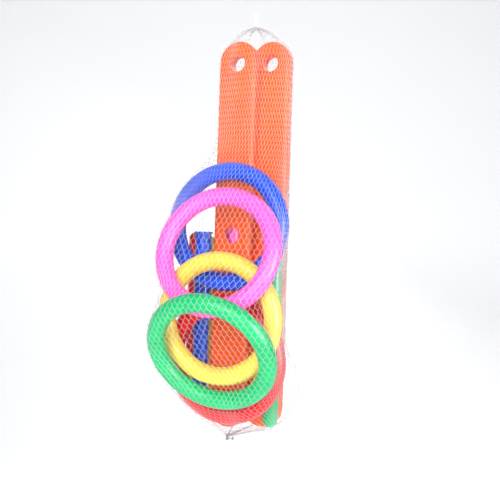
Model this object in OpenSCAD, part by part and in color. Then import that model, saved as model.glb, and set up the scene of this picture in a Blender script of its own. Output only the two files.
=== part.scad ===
// Ring toss set, packed as it is sold: two base planks, five pegs and five rings
// hang in a tubular net bag. Millimetres, +Z up, the front faces -Y, and the origin
// is the centre of the hole in the hang tab at the top of the bag.

/* [Rings] */
// Outer diameter of a tossing ring
ring_d = 140; // [136:0.5:142]
// Diameter of the round tube that a ring is bent from
ring_tube_d = 19; // [14:0.5:19]

/* [Base planks] */
// Length of a base plank over its round ends
plank_len = 432; // [410:1:434]
// Width of a base plank
plank_w = 45; // [38:0.5:45]
// Thickness of a base plank
plank_t = 16; // [12:0.5:16]
// Radius of the rounded long edges
plank_edge_r = 4; // [1:0.5:4]
// Diameter of a peg hole
peg_hole_d = 18.4; // [18.2:0.1:19]
// From the end of a plank to the centre of its end hole
end_hole_inset = 24.5; // [20:0.5:40]

/* [Pegs] */
// Length of a peg over its dome
peg_len = 185; // [160:1:186]
// Outer diameter of a peg beside its flange
peg_base_d = 18; // [16:0.1:18]
// Outer diameter of a peg where its dome starts
peg_tip_d = 16.6; // [14:0.1:17]
// Diameter of the flange at a peg's open mouth
flange_d = 21; // [19.5:0.1:21]
// Height of that flange
flange_h = 2.2; // [1:0.1:4]
// Wall of a peg
peg_wall = 1.6; // [1:0.1:2.5]

/* [Packing] */
// How far the packed set is turned to face its left
pack_yaw = 25; // [25:0.1:25.1]
// How far the planks and pegs lean to their right at the top
pack_lean = 1.9; // [1.8:0.1:2]
// How much further the left plank leans
plank_fan = 0.4; // [0:0.1:0.5]
// Gap between packed pieces
pack_gap = 0.3; // [0.1:0.1:0.4]

/* [Net bag] */
// Thickness of the solid that stands for the net
net_skin = 0.8; // [0.6:0.1:1.2]

/* [Hang tab] */
// Diameter of the hang hole
hang_hole_d = 5; // [4:0.1:5.5]
// Width of the hang tab
tab_w = 13; // [11:0.5:16]
// Thickness of the hang tab
tab_t = 3; // [1.5:0.1:3.5]

/* [Hidden] */
$fn = 96;

// Centre of each ring, then its turn to the left and its tilt upwards
ring_radius = (ring_d - ring_tube_d) / 2;
blue_ring = [[-32.2, -51.2, -240.6], 21.9, 4.5];
red_ring = [[-34.9, -58.3, -383.7], 23.7, -0.9];
yellow_ring = [[-40.4, -79.8, -337.6], 21.6, -0.5];
pink_ring = [[-41.3, -90.3, -267], 21.4, 17.7];
green_ring = [[-47.2, -106.6, -369.8], 22.1, -28.3];

// Middle of the front plank's face, and the step from it to the rear plank
front_plank = [-28.7, -30, -250];
rear_step = [34, plank_t + pack_gap, 1.3];
left_lean = pack_lean + plank_fan;
notch_w = plank_w + 0.6;
notch_depth = plank_t / 2;
hole_bevel = 0.8;

// Where each peg's axis crosses the height of the planks' middle, and its mouth from there
blue_peg = [-60.3, -13.1, 4];
red_peg = [-70, 6.5, -181];
yellow_peg = [-46.3, 9, -2];
green_peg = [20.4, -47, -26];
pink_peg = [-26.9, -0.8, 90];

// Hang tab: a flat strip whose broad faces look along X, with the net's neck sealed into its foot
tab_top = 4.5;
tab_foot = -10;
tab_corner_r = 3;

// Bottom clip, crimped round the net's lower neck
clip_place = [-30, -36, -471.5];
clip_h = 5;
clip_d = 9;
clip_groove_r = 1;

// The net: its slack round the pieces, and the height where the planks leave the ring stack
net_slack = 2.2;
shoulder_z = -119;
neck_r = 4;
neck_h = 0.1;
coarse_sides = 24;

// Turns a piece that stands upright and faces -Y into the packed set's direction
module packed(place, lean = pack_lean) {
    translate(place) rotate([0, lean, -pack_yaw]) children();
}

// ---- net bag, its tab and its clip ----

module hang_tab() {
    span = tab_w / 2 - tab_corner_r;
    color([0.95, 0.96, 0.98]) rotate([90, 0, 90]) translate([0, 0, -tab_t / 2]) difference() {
        linear_extrude(tab_t) union() {
            translate([-tab_w / 2, tab_foot])
                square([tab_w, tab_top - tab_corner_r - tab_foot]);
            translate([-span, tab_foot]) square([2 * span, tab_top - tab_foot]);
            for (side = [-span, span]) translate([side, tab_top - tab_corner_r]) circle(r = tab_corner_r);
        }
        translate([0, 0, -1]) cylinder(d = hang_hole_d, h = tab_t + 2);
    }
}

// A ring, a peg or a plank made fatter by grow, in few facets, for the net to stretch over
module fat_ring(place, grow) {
    translate(place[0]) rotate([90 - place[2], 0, -place[1]]) rotate_extrude($fn = coarse_sides)
        translate([ring_radius, 0]) circle(d = ring_tube_d + 2 * grow, $fn = coarse_sides / 2);
}

module fat_peg(place, mouth_up, grow) {
    end_z = mouth_up ? place[2] - peg_len : place[2];
    packed([place[0], place[1], front_plank[2]]) translate([0, 0, end_z - grow])
        cylinder(d = flange_d + 2 * grow, h = peg_len + 2 * grow, $fn = coarse_sides);
}

// The stretch of a leaning plank from low to high, measured from its middle
module fat_plank(step, lean, low, high, grow) {
    half = plank_w / 2;
    packed(front_plank, lean) translate(step) for (z = [low + half, high - half])
        translate([0, -grow, z]) rotate([-90, 0, 0])
            cylinder(r = half + grow, h = plank_t + 2 * grow, $fn = 2 * coarse_sides);
}

// A short ring of net where it is gathered; top_z is the height of its upper face
module neck(place, top_z, grow) {
    translate([place[0], place[1], top_z - neck_h])
        cylinder(r = neck_r + grow / 2, h = neck_h, $fn = coarse_sides / 2);
}

// Everything inside the net, with the net stretched from the tab to the planks, and from
// the planks' shoulder over the pegs and rings to the bottom clip
module stretched(grow) {
    reach = plank_len / 2;
    shoulder = shoulder_z - front_plank[2];
    inset = net_skin + net_slack - grow;
    hull() {
        neck([0, 0], tab_foot - inset, grow);
        fat_plank([0, 0, 0], left_lean, -reach, reach, grow);
        fat_plank(rear_step, pack_lean, -reach, reach, grow);
    }
    hull() {
        fat_plank([0, 0, 0], left_lean, -reach, shoulder, grow);
        fat_plank(rear_step, pack_lean, -reach, shoulder, grow);
        for (place = [blue_ring, red_ring, yellow_ring, pink_ring, green_ring]) fat_ring(place, grow);
        for (place = [blue_peg, yellow_peg, green_peg, pink_peg]) fat_peg(place, true, grow);
        fat_peg(red_peg, false, grow);
        neck(clip_place, clip_place[2] + inset + neck_h, grow);
    }
}

// The net as one thin skin; its knitted mesh is finer than a solid model needs
module net_bag() {
    color([0.97, 0.97, 1.0, 0.35]) difference() {
        stretched(net_slack + net_skin);
        stretched(net_slack);
    }
}

module bottom_clip() {
    color([0.82, 0.84, 0.87]) translate(clip_place)
        rotate_extrude() difference() {
            translate([0, -clip_h]) square([clip_d / 2, clip_h]);
            translate([clip_d / 2, -clip_h / 2]) circle(r = clip_groove_r);
        }
}

// ---- base planks ----

// Half of a plank's cross-section, from its middle to its rounded edge
module half_section() {
    half = plank_w / 2;
    square([half - plank_edge_r, plank_t]);
    translate([0, plank_edge_r]) square([half, plank_t - 2 * plank_edge_r]);
    for (y = [plank_edge_r, plank_t - plank_edge_r])
        translate([half - plank_edge_r, y]) circle(r = plank_edge_r);
}

module round_end() {
    rotate_extrude(angle = 180) half_section();
}

// Front face on y = 0, back face on y = plank_t, length along z, centred on its middle hole
module plank_blank() {
    straight = plank_len - plank_w;
    for (side = [0, 1]) mirror([side, 0, 0])
        translate([0, 0, -straight / 2]) linear_extrude(straight) half_section();
    for (side = [0, 1]) mirror([0, 0, side])
        translate([0, plank_t, straight / 2]) rotate([90, 0, 0]) round_end();
}

// A hole right through a plank, with both of its rims bevelled
module peg_hole() {
    wide_d = peg_hole_d + 2 * hole_bevel;
    translate([0, -1, 0]) rotate([-90, 0, 0]) cylinder(d = peg_hole_d, h = plank_t + 2);
    rotate([-90, 0, 0]) cylinder(h = hole_bevel, d1 = wide_d, d2 = peg_hole_d);
    translate([0, plank_t, 0]) rotate([90, 0, 0]) cylinder(h = hole_bevel, d1 = wide_d, d2 = peg_hole_d);
}

module plank(notch_in_front) {
    hole_step = plank_len / 2 - end_hole_inset;
    notch_y = notch_in_front ? -1 : plank_t - notch_depth;
    difference() {
        plank_blank();
        for (z = [-hole_step, 0, hole_step]) translate([0, 0, z]) peg_hole();
        translate([-plank_w, notch_y, -notch_w / 2]) cube([2 * plank_w, notch_depth + 1, notch_w]);
    }
}

module plank_left() {
    color([1.0, 0.33, 0.12]) packed(front_plank, left_lean) plank(false);
}

module plank_right() {
    color([1.0, 0.30, 0.10]) packed(front_plank) translate(rear_step) plank(true);
}

// ---- tossing rings ----

module ring(place) {
    translate(place[0]) rotate([90 - place[2], 0, -place[1]]) rotate_extrude()
        translate([ring_radius, 0]) circle(d = ring_tube_d, $fn = 48);
}

module ring_blue() {
    color([0.16, 0.43, 0.96]) ring(blue_ring);
}

module ring_red() {
    color([0.88, 0.08, 0.10]) ring(red_ring);
}

module ring_yellow() {
    color([1.0, 0.90, 0.25]) ring(yellow_ring);
}

module ring_pink() {
    color([1.0, 0.47, 0.87]) ring(pink_ring);
}

module ring_green() {
    color([0.0, 0.84, 0.52]) ring(green_ring);
}

// ---- pegs ----

// Outside of a peg that hangs from its mouth at z = 0; inset takes the wall off
module peg_form(inset) {
    dome_z = peg_len - peg_tip_d / 2;
    translate([0, 0, -dome_z]) {
        cylinder(h = dome_z, r1 = peg_tip_d / 2 - inset, r2 = peg_base_d / 2 - inset);
        sphere(r = peg_tip_d / 2 - inset);
    }
}

// A hollow tapered peg whose mouth is at the top and whose dome points down
module peg() {
    difference() {
        union() {
            peg_form(0);
            translate([0, 0, -flange_h]) cylinder(d = flange_d, h = flange_h);
        }
        peg_form(peg_wall);
        translate([0, 0, -1]) cylinder(d = peg_base_d - 2 * peg_wall, h = 2);
    }
}

module packed_peg(place, mouth_up) {
    packed([place[0], place[1], front_plank[2]]) translate([0, 0, place[2]])
        rotate([mouth_up ? 0 : 180, 0, 0]) peg();
}

module peg_blue() {
    color([0.17, 0.36, 0.90]) packed_peg(blue_peg, true);
}

module peg_red() {
    color([0.90, 0.10, 0.12]) packed_peg(red_peg, false);
}

module peg_yellow() {
    color([1.0, 0.88, 0.25]) packed_peg(yellow_peg, true);
}

module peg_green() {
    color([0.05, 0.76, 0.45]) packed_peg(green_peg, true);
}

module peg_pink() {
    color([0.98, 0.45, 0.80]) packed_peg(pink_peg, true);
}

hang_tab();
net_bag();
bottom_clip();
plank_left();
plank_right();
ring_blue();
ring_red();
ring_yellow();
ring_pink();
ring_green();
peg_blue();
peg_red();
peg_yellow();
peg_green();
peg_pink();
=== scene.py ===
import math

import bpy
import numpy as np
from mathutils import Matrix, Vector


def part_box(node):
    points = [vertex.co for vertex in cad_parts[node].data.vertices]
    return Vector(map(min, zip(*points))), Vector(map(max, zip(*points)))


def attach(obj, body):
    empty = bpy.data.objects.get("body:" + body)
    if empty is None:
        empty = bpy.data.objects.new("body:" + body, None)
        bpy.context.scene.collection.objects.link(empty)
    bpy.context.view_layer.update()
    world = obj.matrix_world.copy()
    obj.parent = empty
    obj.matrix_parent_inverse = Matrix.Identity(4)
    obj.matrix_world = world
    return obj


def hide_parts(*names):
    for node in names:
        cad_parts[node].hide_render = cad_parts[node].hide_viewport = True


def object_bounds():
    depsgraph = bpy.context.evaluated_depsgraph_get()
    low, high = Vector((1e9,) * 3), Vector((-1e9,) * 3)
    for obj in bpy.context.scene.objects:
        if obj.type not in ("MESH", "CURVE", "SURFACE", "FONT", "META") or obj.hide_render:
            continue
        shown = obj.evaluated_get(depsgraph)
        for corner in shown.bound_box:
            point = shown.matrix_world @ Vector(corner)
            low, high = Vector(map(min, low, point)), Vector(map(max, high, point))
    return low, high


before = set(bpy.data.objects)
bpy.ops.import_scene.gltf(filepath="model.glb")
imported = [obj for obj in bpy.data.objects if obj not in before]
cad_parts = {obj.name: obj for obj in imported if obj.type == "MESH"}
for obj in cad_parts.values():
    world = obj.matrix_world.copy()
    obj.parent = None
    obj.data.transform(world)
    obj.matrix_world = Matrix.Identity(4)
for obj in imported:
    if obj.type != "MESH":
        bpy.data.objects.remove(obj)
cad_low, cad_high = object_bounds()

# Lengths are in metres, unless a name says otherwise.

# ---- camera and backdrop ----

EYE = Vector((-0.0075, -0.806, -0.255))
LENS_MM = 50
SENSOR_MM = 36

# A floor, a wall, and the cove that joins them
BACKDROP_WIDTH = 6.0
FLOOR_Z = -0.85
FLOOR_FRONT_Y = -2.5
WALL_Y = 1.7
WALL_TOP_Z = 2.0
COVE_RADIUS = 0.6
COVE_STEPS = 12

# ---- the game pieces ----

RING_COLOURS = ("blue", "red", "yellow", "pink", "green")
GAME_NODES = ["plank_left", "plank_right"]
GAME_NODES += [f"ring_{c}" for c in RING_COLOURS] + [f"peg_{c}" for c in RING_COLOURS]

PLASTICS = {
    "blue": (0.008, 0.09, 0.74),
    "red": (0.75, 0.012, 0.015),
    "yellow": (0.95, 0.69, 0.08),
    "pink": (0.95, 0.125, 0.60),
    "green": (0.0, 0.47, 0.15),
}
PLANK_ORANGE = (0.92, 0.115, 0.004)

# Lowest and highest roughness of the shiny rings and pegs, and of the duller planks
SHINY = (0.26, 0.38)
DULL = (0.36, 0.5)

# Clouds in a plastic are this share of its colour
CLOUD_SHADE = 0.86

# Radius and sides of a parting line, its points round a ring and round a half circle
SEAM_R = 0.00028
SEAM_SIDES = 6
RING_STEPS = 145
HALF_STEPS = 25

# A peg's radius at its mouth and at its dome, and the height of its flange
PEG_ROOT_R = 0.0090
PEG_TIP_R = 0.0083
PEG_FLANGE_H = 0.0022

# ---- the net ----

# Cells round the bag, the strand between two knots, its radius and its sides
CELLS = 80
LEG = 0.0062
STRAND_R = 0.00023
STRAND_SIDES = 4

# As shares of LEG: half a knot's length, and the least drop from one line of knots to the next
KNOT_SHARE = 0.11
LEAST_DROP = 0.4

# Space between the pieces and the net, and how far above and below their ends it stays wide
NET_GAP = 0.00075
END_MARGIN = 0.002

# Its surface: height slices, directions round each slice, and points on each cell's width
LEVEL_STEP = 0.0005
DIRECTIONS = 360
CELL_SAMPLES = 16

# Stands for a reach in a slice that holds nothing
EMPTY = -1.0

# Height over which a hoop's own pull draws the net in, and over which the hoops' middles are smoothed
HOOP_LENGTH = 0.05
CENTRE_SMOOTHING = 0.02

# Radius of its two necks, and how far each runs into the tab or the clip
NECK_R = 0.003
SEAL = 0.0005

# The solver: slices in its coarsest pass, sweeps in each pass, and how far a sweep overshoots
COARSEST_SLICES = 60
SWEEPS = 120
OVER_RELAX = 1.7

# Slack that billows out over the planks' top and beside their foot: centre, then radii
TOP_SLACK = ((0.0, -0.016, -0.040), (0.026, 0.020, 0.022))
FOOT_SLACK = ((0.019, -0.030, -0.417), (0.027, 0.024, 0.041))

# Where the bag is narrow its front cells are opened by this share, and its back ones closed
FRONT_OPEN = 0.5

# Gathers that run into the two necks
GATHERS = 7
GATHER_REACH = 0.035
GATHER_TIGHTNESS = 0.85
GATHER_DEPTH = 0.0016


# ---- camera, light and stage ----

def add_object(name, data):
    thing = bpy.data.objects.new(name, data)
    bpy.context.collection.objects.link(thing)
    return thing


def make_camera():
    data = bpy.data.cameras.new("camera")
    data.lens = LENS_MM
    data.sensor_width = SENSOR_MM
    camera = add_object("camera", data)
    camera.location = EYE
    camera.rotation_euler = (math.radians(90), 0, 0)
    bpy.context.scene.camera = camera


def soft_box(name, place, size, watts, gloss_only=False):
    """A square light that faces the middle of the bag; gloss_only adds highlights and no light."""
    data = bpy.data.lights.new(name, "AREA")
    data.shape = "SQUARE"
    data.size = size
    data.energy = watts
    lamp = add_object(name, data)
    lamp.location = place
    middle = (cad_low + cad_high) / 2
    lamp.rotation_euler = (middle - lamp.location).to_track_quat("-Z", "Y").to_euler()
    lamp.visible_diffuse = not gloss_only


def make_lights():
    soft_box("key", (-0.3, -1.5, 0.1), size=1.1, watts=30)
    soft_box("fill", (0.95, -0.95, -0.3), size=0.6, watts=7)
    soft_box("gloss_card", (1.0, -0.9, -0.22), size=0.8, watts=30, gloss_only=True)
    soft_box("top", (0.1, 0.1, 1.3), size=1.0, watts=4)
    soft_box("back", (0.5, 1.2, 0.5), size=1.2, watts=12)
    world = bpy.data.worlds.new("studio")
    world.use_nodes = True
    sky = world.node_tree.nodes["Background"].inputs
    sky["Color"].default_value = (0.97, 0.98, 1, 1)
    sky["Strength"].default_value = 0.3
    bpy.context.scene.world = world
    bpy.context.scene.view_settings.view_transform = "Standard"


def make_backdrop():
    """A pale floor that curves up into a wall, far behind the bag."""
    profile = [(FLOOR_FRONT_Y, FLOOR_Z)]
    for step in range(COVE_STEPS + 1):
        turn = math.radians(90 * step / COVE_STEPS)
        profile.append((WALL_Y - COVE_RADIUS + COVE_RADIUS * math.sin(turn),
                        FLOOR_Z + COVE_RADIUS - COVE_RADIUS * math.cos(turn)))
    profile.append((WALL_Y, WALL_TOP_Z))
    points = [(side * BACKDROP_WIDTH / 2, y, z) for y, z in profile for side in (-1, 1)]
    faces = [(2 * i, 2 * i + 1, 2 * i + 3, 2 * i + 2) for i in range(len(profile) - 1)]
    mesh = bpy.data.meshes.new("backdrop")
    mesh.from_pydata(points, [], faces)
    mesh.shade_smooth()
    backdrop = add_object("backdrop", mesh)
    backdrop.data.materials.append(paper())


# ---- materials ----

def new_material(name):
    material = bpy.data.materials.new(name)
    material.use_nodes = True
    nodes = material.node_tree.nodes
    return material, nodes, material.node_tree.links, nodes["Principled BSDF"].inputs


def noise(nodes, links, scale, detail, stretch=None):
    """Noise in the object's own coordinates, drawn out along Z where stretch is given."""
    place = nodes.new("ShaderNodeTexCoord")
    texture = nodes.new("ShaderNodeTexNoise")
    texture.inputs["Scale"].default_value = scale
    texture.inputs["Detail"].default_value = detail
    source = place.outputs["Object"]
    if stretch:
        mapping = nodes.new("ShaderNodeMapping")
        mapping.inputs["Scale"].default_value = (1, 1, stretch)
        links.new(source, mapping.inputs["Vector"])
        source = mapping.outputs["Vector"]
    links.new(source, texture.inputs["Vector"])
    return texture.outputs["Fac"]


def ramp(nodes, links, factor, low, high):
    """Two colours that blend over the middle of the noise's range."""
    node = nodes.new("ShaderNodeValToRGB")
    for stop, position, colour in zip(node.color_ramp.elements, (0.35, 0.65), (low, high)):
        stop.position = position
        stop.color = (*colour, 1)
    links.new(factor, node.inputs["Fac"])
    return node.outputs["Color"]


def spread(nodes, links, factor, low, high):
    """Turns noise into a number between low and high."""
    node = nodes.new("ShaderNodeMapRange")
    node.inputs["From Min"].default_value = 0.3
    node.inputs["From Max"].default_value = 0.7
    node.inputs["To Min"].default_value = low
    node.inputs["To Max"].default_value = high
    links.new(factor, node.inputs["Value"])
    return node.outputs["Result"]


def bump(nodes, links, height, distance, strength, under=None):
    node = nodes.new("ShaderNodeBump")
    node.inputs["Distance"].default_value = distance
    node.inputs["Strength"].default_value = strength
    links.new(height, node.inputs["Height"])
    if under:
        links.new(under, node.inputs["Normal"])
    return node.outputs["Normal"]


def paper():
    material, _, _, shader = new_material("backdrop_paper")
    shader["Base Color"].default_value = (0.93, 0.935, 0.95, 1)
    shader["Roughness"].default_value = 0.9
    shader["Emission Color"].default_value = (0.97, 0.975, 1.0, 1)
    shader["Emission Strength"].default_value = 0.15
    return material


def polyethylene(name, colour, rough):
    """Blow-moulded polyethylene: clouded colour, orange-peel skin, and a little light under it."""
    material, nodes, links, shader = new_material(name)
    deep = tuple(channel * CLOUD_SHADE for channel in colour)
    cloud = noise(nodes, links, scale=38, detail=4)
    links.new(ramp(nodes, links, cloud, deep, colour), shader["Base Color"])
    wear = noise(nodes, links, scale=120, detail=4)
    links.new(spread(nodes, links, wear, *rough), shader["Roughness"])
    orange_peel = noise(nodes, links, scale=420, detail=2)
    fine_grain = noise(nodes, links, scale=1800, detail=2)
    peel = bump(nodes, links, orange_peel, distance=0.0004, strength=0.12)
    grain = bump(nodes, links, fine_grain, distance=0.0002, strength=0.10, under=peel)
    links.new(grain, shader["Normal"])
    shader["Subsurface Weight"].default_value = 0.12
    shader["Subsurface Radius"].default_value = colour
    shader["Subsurface Scale"].default_value = 0.003
    shader["Specular IOR Level"].default_value = 0.35
    return material


def net_thread():
    """Thin translucent thread, with fibres along its length."""
    material, nodes, links, shader = new_material("net_thread")
    fibre = noise(nodes, links, scale=900, detail=2, stretch=0.2)
    white = ramp(nodes, links, fibre, (0.80, 0.80, 0.83), (0.93, 0.93, 0.96))
    links.new(white, shader["Base Color"])
    links.new(spread(nodes, links, fibre, 0.35, 0.55), shader["Roughness"])
    shader["Alpha"].default_value = 0.26
    shader["Subsurface Weight"].default_value = 0.5
    shader["Subsurface Radius"].default_value = (1, 0.95, 0.97)
    shader["Subsurface Scale"].default_value = 0.0005
    return material


def tab_film():
    """The hang tab's milky film."""
    material, nodes, links, shader = new_material("tab_film")
    haze = noise(nodes, links, scale=150, detail=3)
    milky = ramp(nodes, links, haze, (0.84, 0.85, 0.88), (0.93, 0.94, 0.97))
    links.new(milky, shader["Base Color"])
    links.new(spread(nodes, links, haze, 0.25, 0.45), shader["Roughness"])
    ripple = noise(nodes, links, scale=700, detail=2)
    links.new(bump(nodes, links, ripple, distance=0.0003, strength=0.2), shader["Normal"])
    shader["Subsurface Weight"].default_value = 0.4
    shader["Subsurface Scale"].default_value = 0.002
    return material


def crimped_metal():
    """The clip's scuffed metal."""
    material, nodes, links, shader = new_material("clip_metal")
    wear = noise(nodes, links, scale=300, detail=4)
    grey = ramp(nodes, links, wear, (0.30, 0.31, 0.33), (0.55, 0.56, 0.58))
    links.new(grey, shader["Base Color"])
    links.new(spread(nodes, links, wear, 0.3, 0.55), shader["Roughness"])
    scratches = noise(nodes, links, scale=1500, detail=2)
    links.new(bump(nodes, links, scratches, distance=0.0002, strength=0.3), shader["Normal"])
    shader["Metallic"].default_value = 1
    return material


def dress(node, material):
    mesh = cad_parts[node].data
    mesh.materials.clear()
    mesh.materials.append(material)


# ---- threads and ridges ----

def unit(vectors):
    """Each vector at length 1, and a zero one left at zero."""
    return vectors / (np.linalg.norm(vectors, axis=-1, keepdims=True) + 1e-12)


def across_to(vectors, axes):
    """What is left of each vector when its share along a unit axis is taken away."""
    return vectors - axes * (vectors * axes).sum(axis=-1, keepdims=True)


def tubes(name, paths, middle, radius, sides):
    """One mesh of round threads, one along each path of points, and each turned away from middle."""
    count, stations, _ = paths.shape
    ahead = unit(np.gradient(paths, axis=1))
    out = unit(across_to(paths - middle, ahead))
    side = np.cross(ahead, out)
    turns = 2 * math.pi * np.arange(sides) / sides
    ring = out[:, :, None] * np.cos(turns)[:, None] + side[:, :, None] * np.sin(turns)[:, None]
    points = (paths[:, :, None] + ring * radius).reshape(-1, 3)
    index = np.arange(count * stations * sides).reshape(count, stations, sides)
    here, there = index[:, :-1], index[:, 1:]
    quads = np.stack([here, np.roll(here, -1, axis=2), np.roll(there, -1, axis=2), there], axis=-1)
    faces = quads.reshape(-1, 4).tolist()
    faces += index[:, 0, ::-1].tolist() + index[:, -1].tolist()
    mesh = bpy.data.meshes.new(name)
    mesh.from_pydata(points.tolist(), [], faces)
    mesh.shade_smooth()
    return add_object(name, mesh)


def mesh_arrays(name):
    """A CAD node's points and edges."""
    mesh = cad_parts[name].data
    points = np.empty(3 * len(mesh.vertices))
    mesh.vertices.foreach_get("co", points)
    edges = np.empty(2 * len(mesh.edges), dtype=int)
    mesh.edges.foreach_get("vertices", edges)
    return points.reshape(-1, 3), edges.reshape(-1, 2)


# ---- the net's surface ----

def ellipsoid(centre, radii, rows=48, columns=64):
    """Points and edges of a cloud of slack that holds the net out where nothing else does."""
    points = []
    for i in range(rows + 1):
        for j in range(columns):
            down, turn = math.pi * i / rows, 2 * math.pi * j / columns
            points.append((centre[0] + radii[0] * math.sin(down) * math.cos(turn),
                           centre[1] + radii[1] * math.sin(down) * math.sin(turn),
                           centre[2] + radii[2] * math.cos(down)))
    edges = [(i * columns + j, (i + 1) * columns + j) for i in range(rows) for j in range(columns)]
    return np.array(points), np.array(edges)


def support(solids, levels, directions):
    """How far the solids reach in each direction, in each level slice; EMPTY where nothing is."""
    reach = np.full((len(levels), len(directions)), EMPTY)
    for points, edges in solids:
        starts, ends = points[edges[:, 0]], points[edges[:, 1]]
        low, high = np.minimum(starts[:, 2], ends[:, 2]), np.maximum(starts[:, 2], ends[:, 2])
        for k, z in enumerate(levels):
            cut = (low <= z) & (high >= z) & (high > low)
            if cut.any():
                start, end = starts[cut], ends[cut]
                share = ((z - start[:, 2]) / (end[:, 2] - start[:, 2]))[:, None]
                crossing = (start + (end - start) * share)[:, :2]
                reach[k] = np.maximum(reach[k], (crossing @ directions.T).max(axis=0))
    return reach


def kept_wide(reach, slices):
    """Each slice takes the widest reach of the slices that are this near to it."""
    wide = reach.copy()
    for shift in range(1, slices + 1):
        wide[shift:] = np.maximum(wide[shift:], reach[:-shift])
        wide[:-shift] = np.maximum(wide[:-shift], reach[shift:])
    return wide


def slice_centres(reach, directions, slices):
    """The middle of what each slice holds, filled in where it is empty, and smoothed in height."""
    full = reach.max(axis=1) > EMPTY
    half = 0.5 * (reach[full] - np.roll(reach[full], DIRECTIONS // 2, axis=1))
    centres = np.zeros((len(reach), 2))
    centres[full] = 2 * (half @ directions) / DIRECTIONS
    known = np.where(full)[0]
    for k in (0, 1):
        centres[:, k] = np.interp(np.arange(len(reach)), known, centres[known, k])
    window = np.ones(2 * slices + 1) / (2 * slices + 1)
    padded = np.pad(centres, ((slices, slices), (0, 0)), mode="edge")
    return np.stack([np.convolve(padded[:, k], window, mode="valid") for k in (0, 1)], axis=1)


def stretch(wanted, inward, ends, step):
    """The taut net over what it must clear: straight in height, and pulled in by its own hoops.

    A solution on every second slice is the first guess, and it is relaxed from there."""
    skin = wanted.copy()
    if len(wanted) > COARSEST_SLICES:
        coarse = stretch(wanted[::2], inward[::2], ends, 2 * step)
        skin[::2] = coarse
        between = skin[1::2]
        between[:] = coarse[:len(between)]
        inner = min(len(between), len(coarse) - 1)
        between[:inner] = (coarse[:inner] + coarse[1:inner + 1]) / 2
    skin[0], skin[-1] = ends
    pull = 0.5 * (step / HOOP_LENGTH) ** 2
    for _ in range(SWEEPS):
        for start in (1, 2):
            rows = slice(start, len(skin) - 1, 2)
            above, below = skin[start - 1:-2:2], skin[start + 1::2]
            level = (0.5 * (above + below[:len(above)]) + pull * inward[rows]) / (1 + pull)
            skin[rows] = np.maximum(wanted[rows], skin[rows] + OVER_RELAX * (level - skin[rows]))
    return skin


def convex(reach, angle_step):
    """Lowers each reach that its two neighbours already cut off, so that every slice is convex."""
    reach = reach.copy()
    widest = 2 * math.cos(angle_step)
    for _ in range(SWEEPS):
        for start in (0, 1):
            sides = (np.roll(reach, 1, axis=1) + np.roll(reach, -1, axis=1))[:, start::2]
            reach[:, start::2] = np.minimum(reach[:, start::2], sides / widest)
    return reach


def outline(reach, directions, samples):
    """The convex curve that a row of reaches bounds, and its length.

    Its points are evenly spaced along it, and the first one lies straight behind its middle."""
    step = 2 * math.pi / len(reach)
    across = np.stack([-directions[:, 1], directions[:, 0]], axis=1)
    slide = (np.roll(reach, -1) - reach * math.cos(step)) / math.sin(step)
    corners = directions * reach[:, None] + across * slide[:, None]
    corners = np.vstack([corners, corners[:1]])
    lengths = np.linalg.norm(np.diff(corners, axis=0), axis=1)
    run = np.concatenate([[0], np.cumsum(lengths)])
    middle = ((corners[1:] + corners[:-1]) / 2 * lengths[:, None]).sum(axis=0) / run[-1]
    x, y = (corners - middle).T
    crossings = np.where((x[:-1] > 0) & (x[1:] <= 0))[0]
    behind = y[crossings] + y[crossings + 1]
    seam = crossings[behind.argmax()]
    first = run[seam] + lengths[seam] * x[seam] / (x[seam] - x[seam + 1])
    at = (first + np.linspace(0, run[-1], samples, endpoint=False)) % run[-1]
    curve = np.stack([np.interp(at, run, corners[:, k]) for k in (0, 1)], axis=1)
    return curve, run[-1]


def net_surface():
    """A grid of points on the net, its height slices down and its girth across, and each girth."""
    tab_low, tab_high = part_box("hang_tab")
    clip_low, clip_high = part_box("bottom_clip")
    tab, clip = (tab_low + tab_high) / 2, (clip_low + clip_high) / 2
    head = Vector((tab.x, tab.y, tab_low.z + SEAL))
    foot = Vector((clip.x, clip.y, clip_high.z - SEAL))
    levels = np.arange(head.z, foot.z, -LEVEL_STEP)
    turns = np.linspace(0, 2 * math.pi, DIRECTIONS, endpoint=False) + math.pi / 2
    directions = np.stack([np.cos(turns), np.sin(turns)], axis=1)
    solids = [mesh_arrays(name) for name in GAME_NODES]
    solids += [ellipsoid(*TOP_SLACK), ellipsoid(*FOOT_SLACK)]
    wanted = support(solids, levels, directions)
    wanted[wanted > EMPTY] += NET_GAP
    wanted = kept_wide(wanted, round(END_MARGIN / LEVEL_STEP))
    centres = slice_centres(wanted, directions, round(CENTRE_SMOOTHING / LEVEL_STEP))
    ends = [directions @ np.array(end.xy) + NECK_R for end in (head, foot)]
    skin = stretch(wanted, centres @ directions.T, ends, LEVEL_STEP)
    skin = convex(skin, 2 * math.pi / DIRECTIONS)
    samples = CELLS * CELL_SAMPLES
    grid = np.empty((len(levels), samples, 3))
    girth = np.empty(len(levels))
    for k, z in enumerate(levels):
        curve, girth[k] = outline(skin[k], directions, samples)
        grid[k, :, :2] = curve
        grid[k, :, 2] = z
    return grid, girth


# ---- the net's strands ----

def on_grid(grid, rows, around):
    """Points of the surface at fractional rows and at shares of the way round."""
    height, samples, _ = grid.shape
    # Just short of the last row, so that there is always one below
    row = np.clip(rows, 0, height - 1.001)
    above = row.astype(int)
    down = (row - above)[..., None]
    column = (around % 1.0) * samples
    left = column.astype(int) % samples
    right = (left + 1) % samples
    across = (column - column.astype(int))[..., None]
    upper = grid[above, left] * (1 - across) + grid[above, right] * across
    lower = grid[above + 1, left] * (1 - across) + grid[above + 1, right] * across
    return upper * (1 - down) + lower * down


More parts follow.
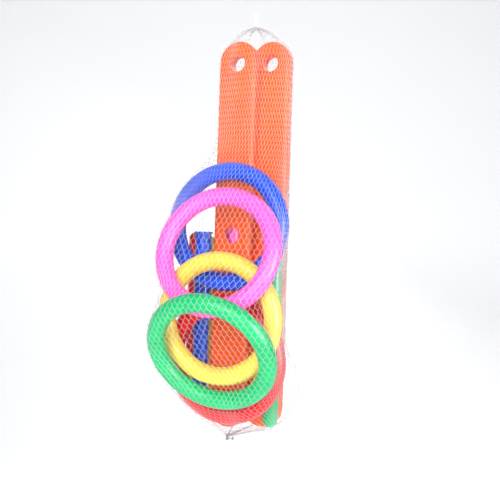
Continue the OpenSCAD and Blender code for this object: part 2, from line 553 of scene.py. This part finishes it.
def knot_rows(grid, girth):
    """The fractional rows where each line of knots starts and ends.

    From one line to the next, the net drops by what the width of its cells leaves of LEG."""
    along = unit((np.roll(grid, -1, axis=1) - np.roll(grid, 1, axis=1))[1:])
    step = across_to(np.diff(grid, axis=0), along)
    down = np.linalg.norm(step, axis=2).mean(axis=1)
    run = np.concatenate([[0], np.cumsum(down)])
    slices = np.arange(len(run))
    at, places = 0.0, []
    while at < run[-1]:
        places.append(at)
        half_cell = np.interp(np.interp(at, run, slices), slices, girth) / (2 * CELLS)
        at += math.sqrt(max(LEG ** 2 - half_cell ** 2, (LEAST_DROP * LEG) ** 2))
    places.append(run[-1])
    places = np.array(places)
    knots = np.stack([places - KNOT_SHARE * LEG, places + KNOT_SHARE * LEG], axis=1)
    return np.interp(knots.ravel(), run, slices).reshape(-1, 2)


def gathered(grid, girth, rows, around):
    """Points on the net, drawn together into folds that deepen towards its two necks."""
    slices = np.arange(len(girth))
    slack = FRONT_OPEN * (1 - np.interp(rows, slices, girth) / girth.max())
    around = around - slack * np.sin(2 * math.pi * around) / (2 * math.pi)
    height = grid[:, 0, 2]
    z = np.interp(rows, slices, height)
    near = np.exp(-np.minimum(height[0] - z, z - height[-1]) / GATHER_REACH)
    phase = 2 * math.pi * GATHERS * around
    shift = GATHER_TIGHTNESS * near * np.sin(phase) / (2 * math.pi * GATHERS)
    points = on_grid(grid, rows, around + shift)
    middle = on_grid(grid.mean(axis=1, keepdims=True), rows, np.zeros_like(around))
    out = points - middle
    out[..., 2] = 0
    reach = np.linalg.norm(out, axis=2, keepdims=True)
    fold = GATHER_DEPTH * near * (0.5 - 0.5 * np.cos(phase))
    return points + out / (reach + NECK_R) * fold[..., None]


def make_net():
    """Strands that lean left and strands that lean right, half a cell from knot to knot."""
    grid, girth = net_surface()
    rows = knot_rows(grid, girth)
    lines = np.arange(len(rows))
    paths = []
    for lean in (0.5, -0.5):
        for start in range(CELLS):
            around = np.repeat((start + lean * lines)[:, None] / CELLS, 2, axis=1)
            paths.append(gathered(grid, girth, rows, around).reshape(-1, 3))
    paths = np.array(paths)
    net = tubes("net_mesh", paths, paths.mean(axis=0), STRAND_R, STRAND_SIDES)
    net.data.materials.append(net_thread())
    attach(net, "bag")
    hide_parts("net_bag")


# ---- parting lines of the moulded pieces ----

def own_axes(name):
    """A node's points, the middle of its extent, and its own axes from its longest to its shortest."""
    points, _ = mesh_arrays(name)
    axes = np.linalg.svd(points - points.mean(axis=0), full_matrices=False)[2]
    reach = points @ axes.T
    middle = (reach.max(axis=0) + reach.min(axis=0)) / 2
    return points, middle @ axes, axes


def arc(centre, across, up, radius, start, end, steps):
    """Points on part of a circle, from one angle in degrees to another."""
    turns = np.radians(np.linspace(start, end, steps))[:, None]
    return centre + radius * (np.cos(turns) * across + np.sin(turns) * up)


def parting_lines(name, paths):
    """The fine ridges where the two halves of a piece's mould met."""
    for number, path in enumerate(paths, start=1):
        seam = tubes(f"{name}_seam_{number}", path[None], path.mean(axis=0), SEAM_R, SEAM_SIDES)
        seam.data.materials.append(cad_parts[name].data.materials[0])
        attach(seam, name)


def ring_seams(colour):
    """Round a ring's outside and round its inside."""
    name = f"ring_{colour}"
    points, centre, (across, up, _) = own_axes(name)
    offset = points - centre
    reach = np.hypot(offset @ across, offset @ up)
    lines = [arc(centre, across, up, radius, 0, 360, RING_STEPS) for radius in (reach.max(), reach.min())]
    parting_lines(name, lines)


def peg_seam(colour):
    """Up one side of a peg from its flange, over its dome, and down the other side."""
    name = f"peg_{colour}"
    points, centre, (along, across, _) = own_axes(name)
    place = (points - centre) @ along
    reach = np.linalg.norm(points - centre - place[:, None] * along, axis=1)
    if place[reach.argmax()] > 0:
        along = -along
    half = np.abs(place).max()
    mouth = centre + along * (PEG_FLANGE_H - half)
    dome = centre + along * (half - PEG_TIP_R)
    over = arc(dome, across, along, PEG_TIP_R, 0, 180, HALF_STEPS)
    line = np.vstack([mouth + across * PEG_ROOT_R, over, mouth - across * PEG_ROOT_R])
    parting_lines(name, [line])


def plank_seam(name, side):
    """Round a plank's edge, a quarter of its thickness in front of its middle or behind it."""
    points, centre, (along, across, through) = own_axes(name)
    if through[1] > 0:
        through = -through
    half = np.abs((points - centre) @ np.array([along, across, through]).T).max(axis=0)
    middle = centre + through * side * half[2] / 2
    straight = along * (half[0] - half[1])
    top = arc(middle + straight, across, along, half[1], 0, 180, HALF_STEPS)
    low = arc(middle - straight, across, along, half[1], 180, 360, HALF_STEPS)
    parting_lines(name, [np.vstack([top, low, top[:1]])])


# ---- the scene ----

make_camera()
make_lights()
make_backdrop()

orange = polyethylene("plank_plastic", PLANK_ORANGE, DULL)
dress("plank_left", orange)
dress("plank_right", orange)
for colour, tint in PLASTICS.items():
    plastic = polyethylene(f"{colour}_plastic", tint, SHINY)
    dress(f"ring_{colour}", plastic)
    dress(f"peg_{colour}", plastic)
dress("hang_tab", tab_film())
dress("bottom_clip", crimped_metal())
for colour in RING_COLOURS:
    ring_seams(colour)
    peg_seam(colour)
plank_seam("plank_left", side=1)
plank_seam("plank_right", side=-1)
make_net()
